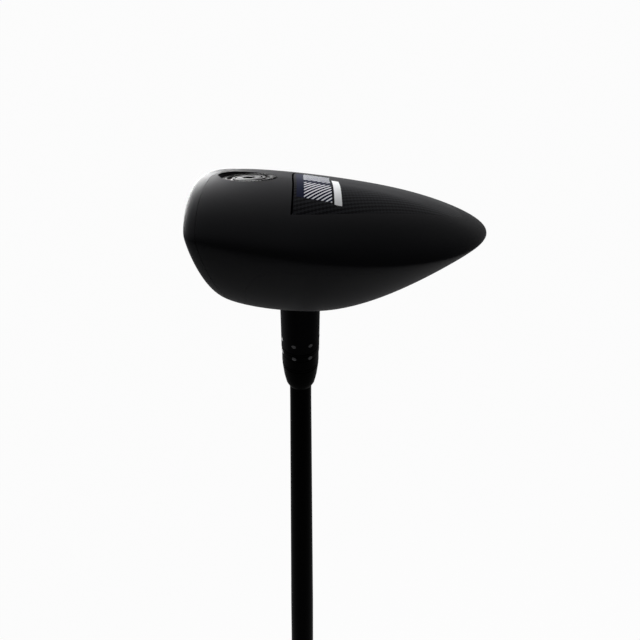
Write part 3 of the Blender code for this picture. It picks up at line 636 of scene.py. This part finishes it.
crown_coat = plain_finish("crown_coat", coat_black, 0.42, coat_grain, gloss=coat_gloss)
hand_over(crown, crown_coat, "head", "composite", "crown_panel")

# Sole panel
# The rear of the sole: woven carbon under a lacquer, bonded to a ledge. A plain hatched block on a navy
# ground and a slim pale bar run along its front edge.
sole = head_form("sole")
combine(sole, "DIFFERENCE", head_form("hollow", panel_wall, panel_wall))
combine(sole, "INTERSECT", half_prism(sole_outline(0.0, 0.0), -beyond_head))
smooth_skin(sole)
tow_width = 0.0008
tow_dark, tow_pale = (0.002, 0.002, 0.003), (0.014, 0.0145, 0.017)
block_near, block_far = 0.003, 0.0112
block_heel, block_toe = 0.030, 0.0705
ground_near = 0.0008
ground_navy = (0.004, 0.006, 0.024)
hatch_pitch, hatch_width = 0.0014, 0.00056
hatch_slant = 0.5
hatch_gap_heel, hatch_gap_toe = 0.050, 0.054
hatch_silver = (0.74, 0.75, 0.78)
bar_near, bar_far = 0.0119, 0.0141
bar_heel, bar_toe = 0.040, 0.0715
bar_white = (0.86, 0.87, 0.88)
carbon, carbon_tree, carbon_shader = start_material(
    "lacquered_carbon", (0.004, 0.004, 0.005), 0.28, gloss=0.002,
)
sole_b, sole_t, _ = head_place(carbon_tree)
warp = math_node(carbon_tree, "FLOOR", math_node(carbon_tree, "DIVIDE", sole_b, tow_width))
weft = math_node(carbon_tree, "FLOOR", math_node(carbon_tree, "DIVIDE", sole_t, tow_width))
twill = math_node(carbon_tree, "FLOORED_MODULO", math_node(carbon_tree, "ADD", warp, weft), 4)
over = math_node(carbon_tree, "LESS_THAN", twill, 1.5)
nose = math_node(carbon_tree, "SUBTRACT", sole_t, panel_nose_t)
nose = math_node(carbon_tree, "MULTIPLY_ADD", nose, nose, panel_nose_round**2)
edge_at = math_node(
    carbon_tree, "MULTIPLY_ADD", math_node(carbon_tree, "SQRT", nose), panel_sweep, panel_front,
)
behind_edge = math_node(carbon_tree, "SUBTRACT", sole_b, edge_at)


def panel_patch(near, far, heel, toe):
    """1 on a patch of the panel that runs along its front edge, 0 elsewhere."""
    along = between(carbon_tree, sole_t, heel, toe)
    return math_node(carbon_tree, "MULTIPLY", between(carbon_tree, behind_edge, near, far), along)


block = panel_patch(block_near, block_far, block_heel, block_toe)
ground = panel_patch(ground_near, block_far, block_heel, block_toe)
bar = panel_patch(bar_near, bar_far, bar_heel, bar_toe)
slant = math_node(carbon_tree, "MULTIPLY_ADD", sole_t, hatch_slant, behind_edge)
stripe = math_node(carbon_tree, "PINGPONG", slant, hatch_pitch / 2)
hatch = math_node(carbon_tree, "LESS_THAN", stripe, hatch_width / 2)
hatch = math_node(carbon_tree, "MULTIPLY", hatch, block)
hatch_gap = between(carbon_tree, sole_t, hatch_gap_heel, hatch_gap_toe)
hatch = math_node(carbon_tree, "SUBTRACT", hatch, math_node(carbon_tree, "MULTIPLY", hatch, hatch_gap))
weave = blend_colour(carbon_tree, over, tow_dark, tow_pale)
weave = blend_colour(carbon_tree, ground, weave, ground_navy)
weave = blend_colour(carbon_tree, hatch, weave, hatch_silver)
weave = blend_colour(carbon_tree, bar, weave, bar_white)
carbon_tree.links.new(weave, carbon_shader.inputs["Base Color"])
add_grain(carbon_tree, carbon_shader, 1500, 0.35, 0.06, 0.1)
hand_over(sole, carbon, "head", "composite", "sole_panel")

# Toe weight
# A blackened steel disc that sits in the port and is held by one screw. It is dished round its hub, and
# the teeth round its rim are left bright.
weight_radius, weight_thickness = 0.0082, 0.0026
weight_top = -0.0004
teeth = 40
tooth_notch = 0.00045
outline_steps = teeth * 4
toothed = []
for i in range(outline_steps):
    reach = weight_radius - (tooth_notch if i % 4 in (2, 3) else 0)
    angle = math.tau * (i + (0.5 if i % 2 else 0)) / outline_steps
    toothed.append((reach * math.cos(angle), reach * math.sin(angle)))
weight = prism("weight", toothed, weight_top - weight_thickness, weight_top)
above_weight = weight_top + 0.001
dish = turned("dish", [
    (0.0050, above_weight), (0.0050, weight_top - 0.00035), (0.0058, weight_top - 0.0007),
    (0.0064, weight_top - 0.0006), (0.0069, above_weight),
])
combine(weight, "DIFFERENCE", dish)
combine(weight, "DIFFERENCE", rod("counterbore", 0.0042, weight_top - 0.0016, beyond_head))
combine(weight, "DIFFERENCE", rod("hole", 0.0028, -beyond_head, beyond_head))
tooth_size = (0.0009, 0.00055, 0.0002, 1)
tooth = Matrix.Translation((weight_radius - 0.0007, 0, weight_top)) @ Matrix.Diagonal(tooth_size)
bm = bmesh.new()
bm.from_mesh(weight.data)
for i in range(teeth):
    spin = Matrix.Rotation(math.tau * (i + 0.12) / teeth, 4, "Z")
    made = bmesh.ops.create_cube(bm, size=1, matrix=spin @ tooth)
    for polished in {f for v in made["verts"] for f in v.link_faces}:
        polished.material_index = 1
bm.to_mesh(weight.data)
bm.free()
soften(weight.data, 30)
weight.data.transform(head_to_row @ port)
steel_grain = (2200, 0.3, 0.08, 0.15)
blackened = plain_finish("blackened_steel", (0.006, 0.006, 0.0065), 0.3, steel_grain, gloss=0.02)
bright = plain_finish("bright_steel", (0.7, 0.7, 0.71), 0.25, (2200, 0.24, 0.08, 0.15), 1.0)
hand_over(weight, blackened, "toe_weight", "steel", "toe_weight")
weight.data.materials.append(bright)

# Weight screw
# A black machine screw with a six-lobed socket, turned from steel. It goes through the weight into the
# port's boss, and its head lies flush with the hub.
socket_radius, socket_depth = 0.0022, 0.00104
socket_wave = 0.13
socket_steps = 72


def lobed(name, low, high):
    """A six-lobed driver socket, as a cutter."""
    points = []
    for i in range(socket_steps):
        angle = math.tau * i / socket_steps
        reach = socket_radius * (1 - socket_wave + socket_wave * math.cos(6 * angle))
        points.append((reach * math.cos(angle), reach * math.sin(angle)))
    return prism(name, points, low, high)


screw_end = -0.0099
screw_radius, screw_head_radius = 0.0025, 0.0039
screw_edge = 0.0003
under_head = weight_top - 0.0013
screw = turned("screw", [
    (0, screw_end), (screw_radius - screw_edge, screw_end), (screw_radius, screw_end + screw_edge),
    (screw_radius, under_head), (screw_head_radius, under_head),
    (screw_head_radius, weight_top - screw_edge), (screw_head_radius - screw_edge, weight_top),
    (0, weight_top),
], 72)
combine(screw, "DIFFERENCE", lobed("socket", weight_top - socket_depth, beyond_head))
soften(screw.data, 30)
screw.data.transform(head_to_row @ port)
oxide = plain_finish("black_oxide", (0.008, 0.008, 0.0086), 0.35, (2500, 0.34, 0.08, 0.1), gloss=0.02)
hand_over(screw, oxide, "weight_screw", "screw", "weight_screw")

# Rubber rings
# Two soft moulded rings: one lies under the weight, and the other keeps the bolt in the head when it is
# undone. Their plain forms stay as the CAD has them.
rubber = plain_finish("soft_rubber", (0.018, 0.018, 0.018), 0.7, (1200, 0.7, 0.1, 0.3))


def paint(node, material):
    """Gives a CAD node that stays in view its material."""
    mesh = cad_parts[node].data
    mesh.materials.clear()
    mesh.materials.append(material)


paint("weight_ring", rubber)
paint("bolt_keeper", rubber)

# Hosel bolt and washer
# A bright steel bolt that pulls the adapter into the neck, on a steel washer. Its socket shows at the
# bottom of the port in the heel of the sole.
bolt_low, bolt_under_head, bolt_end = 0.0214, 0.0254, 0.058
bolt_head_radius, bolt_radius = 0.004, 0.0025
bolt_edge = 0.0003
bolt_socket_end = 0.0246
bolt = turned("bolt", [
    (0, bolt_low), (bolt_head_radius - bolt_edge, bolt_low), (bolt_head_radius, bolt_low + bolt_edge),
    (bolt_head_radius, bolt_under_head), (bolt_radius, bolt_under_head),
    (bolt_radius, bolt_end - bolt_edge), (bolt_radius - bolt_edge, bolt_end), (0, bolt_end),
], 72)
combine(bolt, "DIFFERENCE", lobed("socket", -beyond_head, bolt_socket_end))
soften(bolt.data, 30)
on_axis(bolt).data.transform(head_to_row)
hand_over(bolt, bright, "hosel_bolt", "steel", "hosel_bolt")
paint("bolt_washer", bright)

# Hosel rings
# Seat ring, loft ring and lie ring stack up below the neck, in black anodised aluminium with a hairline
# seam between each pair. Pale setting dots on the neck and on the loft ring are partly real marks and
# partly painted highlight.
ring_edge = 0.00012
seat_low = neck_end_at + seam
seat_high = seat_low + 0.0010
loft_low = seat_high + seam
loft_high = loft_low + 0.0022
lie_low = loft_high + seam
lie_high = lie_low + 0.0046
loft_ring_radius, lie_ring_radius = 0.00718, 0.00708
loft_bore, loft_stem = 0.0060, 0.0066
lie_bore, lie_stem = 0.0052, 0.0058
sleeve_end = 0.050
anodised = plain_finish(
    "black_anodised", (0.0012, 0.0012, 0.0013), 0.34, (3000, 0.36, 0.05, 0.03), gloss=0.004,
)
# Pale dot paint: partly setting marks, partly a painted highlight.
dot_paint_and_glint = plain_finish("dot_paint_and_glint", (0.3, 0.3, 0.305), 0.5, (2000, 0.5, 0.05, 0.1), gloss=0.02)


def finish_turned(obj, material, body_name, slot, node):
    """Places a turned piece on the shaft axis and hands it over."""
    on_axis(obj).data.transform(head_to_row)
    hand_over(obj, material, body_name, slot, node)


def ring_side(radius, low, high):
    """The outside of a ring, with both its edges broken."""
    return [
        (radius - ring_edge, low), (radius, low + ring_edge),
        (radius, high - ring_edge), (radius - ring_edge, high),
    ]


def cam_sleeve(name, bore, stem, ring_radius, low, high):
    """A thin stem in the hosel with a ring outside it."""
    side = ring_side(ring_radius, low, high)
    return turned(name, [(bore, sleeve_end), (stem, sleeve_end), (stem, low), *side, (bore, high)])


dot_count = 7
dot_start = math.radians(-10)
dot_foot, dot_top, dot_depth = 0.0009, 0.0008, 0.00012
dot_sink = 0.00002
loft_dots_at, neck_dots_at = 0.0846, 0.0780
neck_dots_radius = 0.00729


def setting_dots_and_glints(name, ring_radius, height, body_name):
    """A row of small pale dots round a ring: setting marks whose paint is also a painted highlight."""
    lay = Matrix.Translation((ring_radius - dot_sink, 0, height)) @ Matrix.Rotation(math.pi / 2, 4, "Y")
    bm = bmesh.new()
    for i in range(dot_count):
        spin = Matrix.Rotation(dot_start + math.tau * i / dot_count, 4, "Z")
        bmesh.ops.create_cone(
            bm, cap_ends=True, segments=20, radius1=dot_foot, radius2=dot_top, depth=dot_depth,
            matrix=spin @ lay,
        )
    dots = add_mesh(name, bm)
    on_axis(dots).data.transform(head_to_row)
    dots.data.materials.append(dot_paint_and_glint)
    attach(dots, body_name)


seat_side = ring_side(neck_end_radius, seat_low, seat_high)
seat = turned("seat", [(neck_bore, seat_low), *seat_side, (neck_bore, seat_high)])
finish_turned(seat, anodised, "head", "anodised", "hosel_seat_ring")
loft_piece = cam_sleeve("loft_ring", loft_bore, loft_stem, loft_ring_radius, loft_low, loft_high)
finish_turned(loft_piece, anodised, "loft_sleeve", "anodised", "loft_sleeve")
setting_dots_and_glints("loft_dots", loft_ring_radius, loft_dots_at, "loft_sleeve")
setting_dots_and_glints("neck_dots", neck_dots_radius, neck_dots_at, "head")
lie_piece = cam_sleeve("lie_ring", lie_bore, lie_stem, lie_ring_radius, lie_low, lie_high)
finish_turned(lie_piece, anodised, "lie_sleeve", "anodised", "lie_sleeve")

# Tip adapter and ferrule
# The anodised adapter is bonded to the shaft's tip, with a collar below the rings. The plastic ferrule
# tapers from it down to the shaft.
collar_low = lie_high + seam
collar_high = collar_low + 0.0010
collar_radius = 0.00698
adapter_radius, adapter_bore = 0.005, 0.0044
adapter_end, adapter_floor = 0.048, 0.0583
thread_radius = 0.0028
collar_side = ring_side(collar_radius, collar_low, collar_high)
adapter = turned("adapter", [
    (thread_radius, adapter_end), (adapter_radius, adapter_end), (adapter_radius, collar_low), *collar_side,
    (adapter_bore, collar_high), (adapter_bore, adapter_floor), (thread_radius, adapter_floor),
])
finish_turned(adapter, anodised, "shaft", "anodised", "tip_adapter")
ferrule_low = collar_high + seam
trim = turned("trim", [
    (adapter_bore, ferrule_low), (collar_radius - ring_edge, ferrule_low),
    (collar_radius, ferrule_low + ring_edge), (0.0064, 0.0978), (0.0060, 0.1000), (0.0056, 0.1020),
    (0.0051, 0.1031), (0.0046, 0.1039), (adapter_bore, 0.1039),
])
ferrule_plastic = plain_finish(
    "ferrule_plastic", (0.0008, 0.0008, 0.0009), 0.3, (1500, 0.3, 0.05, 0.1), gloss=0.002,
)
finish_turned(trim, ferrule_plastic, "shaft", "plastic", "ferrule")
paint("tip_plug", ferrule_plastic)

# Shaft
# A graphite tube, wound on a mandrel, ground and lacquered black. It is parallel at the tip and at the
# butt, and tapers in two stretches between.
butt_radius, waist_radius, tip_radius = 0.00762, 0.00525, 0.00425
butt_wall, tip_wall = 0.0009, 0.0014
shaft_low, butt_end = 0.0043, 0.064
waist_at, tip_start = 0.8372, 0.9803
tip_at = club_length - 0.0586
tube = turned("tube", [
    (butt_radius, shaft_low), (butt_radius, butt_end), (waist_radius, waist_at), (tip_radius, tip_start),
    (tip_radius, tip_at), (tip_radius - tip_wall, tip_at), (tip_radius - tip_wall, tip_start),
    (waist_radius - tip_wall, waist_at), (butt_radius - butt_wall, butt_end),
    (butt_radius - butt_wall, shaft_low),
])
graphite = plain_finish(
    "lacquered_graphite", (0.0008, 0.0008, 0.0009), 0.28, (700, 0.3, 0.05, 0.01), gloss=0.002,
)
hand_over(tube, graphite, "shaft", "graphite", "shaft")

# Grip
# Double-sided tape round the shaft, a tapered rubber sleeve slid over it, and a cap with a vent. The
# sleeve is moulded with a cross-hatched tread between plain ends.
tape = plain_finish("tape", (0.72, 0.69, 0.6), 0.8, (500, 0.8, 0.05, 0.3))
paint("grip_tape", tape)
grip_low, grip_high = 0.0093, 0.270
grip_radius_low = 0.0131
grip_waist = 0.0011
grip_bore = 0.00822
grip_over_shaft, mouth_wall = 0.0019, 0.0013
cap_high = 0.009
tread_low, tread_high = 0.016, 0.262
tread_pitch = 0.0065
tread_count = 12
tread_steps = 8
tread_depth = 0.00025
tread_slope = 4
mouth_share = (grip_high - butt_end) / (waist_at - butt_end)
mouth = butt_radius + (waist_radius - butt_radius) * mouth_share + grip_over_shaft


def grip_radius(z):
    """The grip's plain outside: a taper from the cap to the mouth, drawn in a little between."""
    share = (z - cap_high) / (grip_high - cap_high)
    return grip_radius_low + (mouth - grip_radius_low) * share - grip_waist * math.sin(math.pi * share)


def from_whole(value):
    """Distance to the nearest whole number."""
    return abs(value - round(value))


grip_rows = round((grip_high - grip_low) / tread_pitch * tread_steps)
grip_heights = [grip_low + (grip_high - grip_low) * i / grip_rows for i in range(grip_rows + 1)]
grip_profile = [(grip_radius(z), z) for z in grip_heights]
grip_profile += [(mouth - mouth_wall, grip_high), (grip_bore, butt_end), (grip_bore, grip_low)]
sleeve = turned("tread", grip_profile, tread_count * tread_steps)
for v in sleeve.data.vertices:
    reach = math.hypot(v.co.x, v.co.y)
    if abs(reach - grip_radius(v.co.z)) < 1e-5 and tread_low < v.co.z < tread_high:
        turns = math.atan2(v.co.y, v.co.x) / math.tau * tread_count
        rows = (v.co.z - grip_low) / tread_pitch
        off_groove = min(from_whole(rows + turns), from_whole(rows - turns))
        sunk = tread_depth * max(0, 1 - tread_slope * off_groove)
        v.co.x *= 1 - sunk / reach
        v.co.y *= 1 - sunk / reach
tread, tread_tree, tread_shader = start_material("grip_rubber", (0.02, 0.02, 0.02), 0.72)
grip_x, grip_y, grip_z = row_place(tread_tree)
around = math_node(tread_tree, "ARCTAN2", grip_y, grip_x)
around = math_node(tread_tree, "MULTIPLY", around, tread_count / math.tau)
climb = math_node(tread_tree, "SUBTRACT", grip_z, grip_low)
climb = math_node(tread_tree, "DIVIDE", climb, tread_pitch)
rise = math_node(tread_tree, "PINGPONG", math_node(tread_tree, "ADD", climb, around), 0.5)
fall = math_node(tread_tree, "PINGPONG", math_node(tread_tree, "SUBTRACT", climb, around), 0.5)
land = math_node(tread_tree, "MULTIPLY", math_node(tread_tree, "MINIMUM", rise, fall), tread_slope)
treaded = between(tread_tree, grip_z, tread_low, tread_high)
land = math_node(tread_tree, "MAXIMUM", land, math_node(tread_tree, "SUBTRACT", 1, treaded))
# The tread's grooves are painted darker than its lands: painted shade in the grooves.
tread_groove_shade = blend_colour(tread_tree, land, (0.006, 0.006, 0.006), (0.03, 0.03, 0.03))
tread_tree.links.new(tread_groove_shade, tread_shader.inputs["Base Color"])
add_grain(tread_tree, tread_shader, 1500, 0.72, 0.08, 0.3)
hand_over(sleeve, tread, "shaft", "grip", "grip_sleeve")
vent_radius = 0.0012
cap_floor, cap_bore = 0.004, 0.00777
cap = turned("cap", [
    (vent_radius, 0), (0.0110, 0), (0.0121, 0.00025), (0.0129, 0.0009), (0.0133, 0.0017), (0.0134, 0.0024),
    (0.0134, 0.0088), (0.0132, cap_high), (cap_bore, cap_high), (cap_bore, cap_floor),
    (vent_radius, cap_floor),
])
cap_rubber = plain_finish("cap_rubber", (0.02, 0.02, 0.02), 0.65, (900, 0.65, 0.08, 0.3))
hand_over(cap, cap_rubber, "shaft", "grip", "grip_cap")
bpy.data.objects.remove(skin, do_unlink=True)

# Floor and light
# A white studio: floor and background show white to the camera and in reflections. Two soft boxes on
# the face's side graze the sole, and a weak one hangs behind.
shade_grey, studio_white = (0.055, 0.055, 0.057), (1, 1, 1)
floor_size = 6
floor_glow = 0.97


def seen_rays(tree):
    """1 for the rays that show the background: from the camera, in gloss and through glass."""
    paths = tree.nodes.new("ShaderNodeLightPath")
    shown = math_node(tree, "MAXIMUM", paths.outputs["Is Camera Ray"], paths.outputs["Is Glossy Ray"])
    return math_node(tree, "MAXIMUM", shown, paths.outputs["Is Transmission Ray"])


world = bpy.data.worlds.new("studio")
bpy.context.scene.world = world
world.use_nodes = True
sky = world.node_tree
studio = blend_colour(sky, seen_rays(sky), shade_grey, studio_white)
sky.links.new(studio, sky.nodes["Background"].inputs["Color"])
bm = bmesh.new()
bmesh.ops.create_grid(bm, x_segments=1, y_segments=1, size=floor_size)
floor = add_mesh("floor", bm)
pale, pale_tree, pale_shader = start_material("pale_floor", (0.35, 0.35, 0.35), 0.9)
glow = pale_tree.nodes.new("ShaderNodeEmission")
lit = pale_tree.nodes.new("ShaderNodeMixShader")
pale_tree.links.new(math_node(pale_tree, "MULTIPLY", seen_rays(pale_tree), floor_glow), lit.inputs[0])
pale_tree.links.new(pale_shader.outputs[0], lit.inputs[1])
pale_tree.links.new(glow.outputs[0], lit.inputs[2])
pale_tree.links.new(lit.outputs[0], pale_tree.nodes["Material Output"].inputs["Surface"])
floor.data.materials.append(pale)
head_middle = Vector((0.028, -0.04172, 1.09744))


def soft_box(name, place, size, power):
    """A square area light that looks at the head."""
    data = bpy.data.lights.new(name, "AREA")
    data.shape = "SQUARE"
    data.size = size
    data.energy = power
    lamp = bpy.data.objects.new(name, data)
    lamp.location = place
    lamp.visible_camera = False
    lamp.rotation_euler = (head_middle - Vector(place)).to_track_quat("-Z", "Y").to_euler()
    bpy.context.scene.collection.objects.link(lamp)


soft_box("key", (-0.63, 0.25, 1.12), 0.4, 7)
soft_box("side", (-0.50, 0.62, 0.92), 0.4, 26)
soft_box("back", (0.15, 0.75, 1.35), 0.5, 1)

# Camera
# A medium telephoto on the toe side, a little behind the face and above the head. It looks down on the
# upturned head, with the shaft running out of the lower edge of the picture.
azimuth, elevation, roll = math.radians(15.78), math.radians(43.14), math.radians(-0.47)
camera_distance = 0.37707
aim_left, aim_down = 0.00812, 0.02244
toward = Vector((
    math.sin(azimuth) * math.cos(elevation), -math.cos(azimuth) * math.cos(elevation), math.sin(elevation),
))
right = Vector((math.cos(azimuth), math.sin(azimuth), 0))
up = toward.cross(right)
turned_right = right * math.cos(roll) - up * math.sin(roll)
turned_up = right * math.sin(roll) + up * math.cos(roll)
view = bpy.data.cameras.new("view")
view.lens = 69.09
view.sensor_width = 36
view.clip_start = 0.01
camera = bpy.data.objects.new("view", view)
pose = Matrix((turned_right, turned_up, toward)).transposed().to_4x4()
aim = head_middle - aim_left * right - aim_down * up
camera.matrix_world = Matrix.Translation(aim + toward * camera_distance) @ pose
bpy.context.scene.collection.objects.link(camera)
bpy.context.scene.camera = camera
bpy.context.scene.view_settings.view_transform = "Standard"
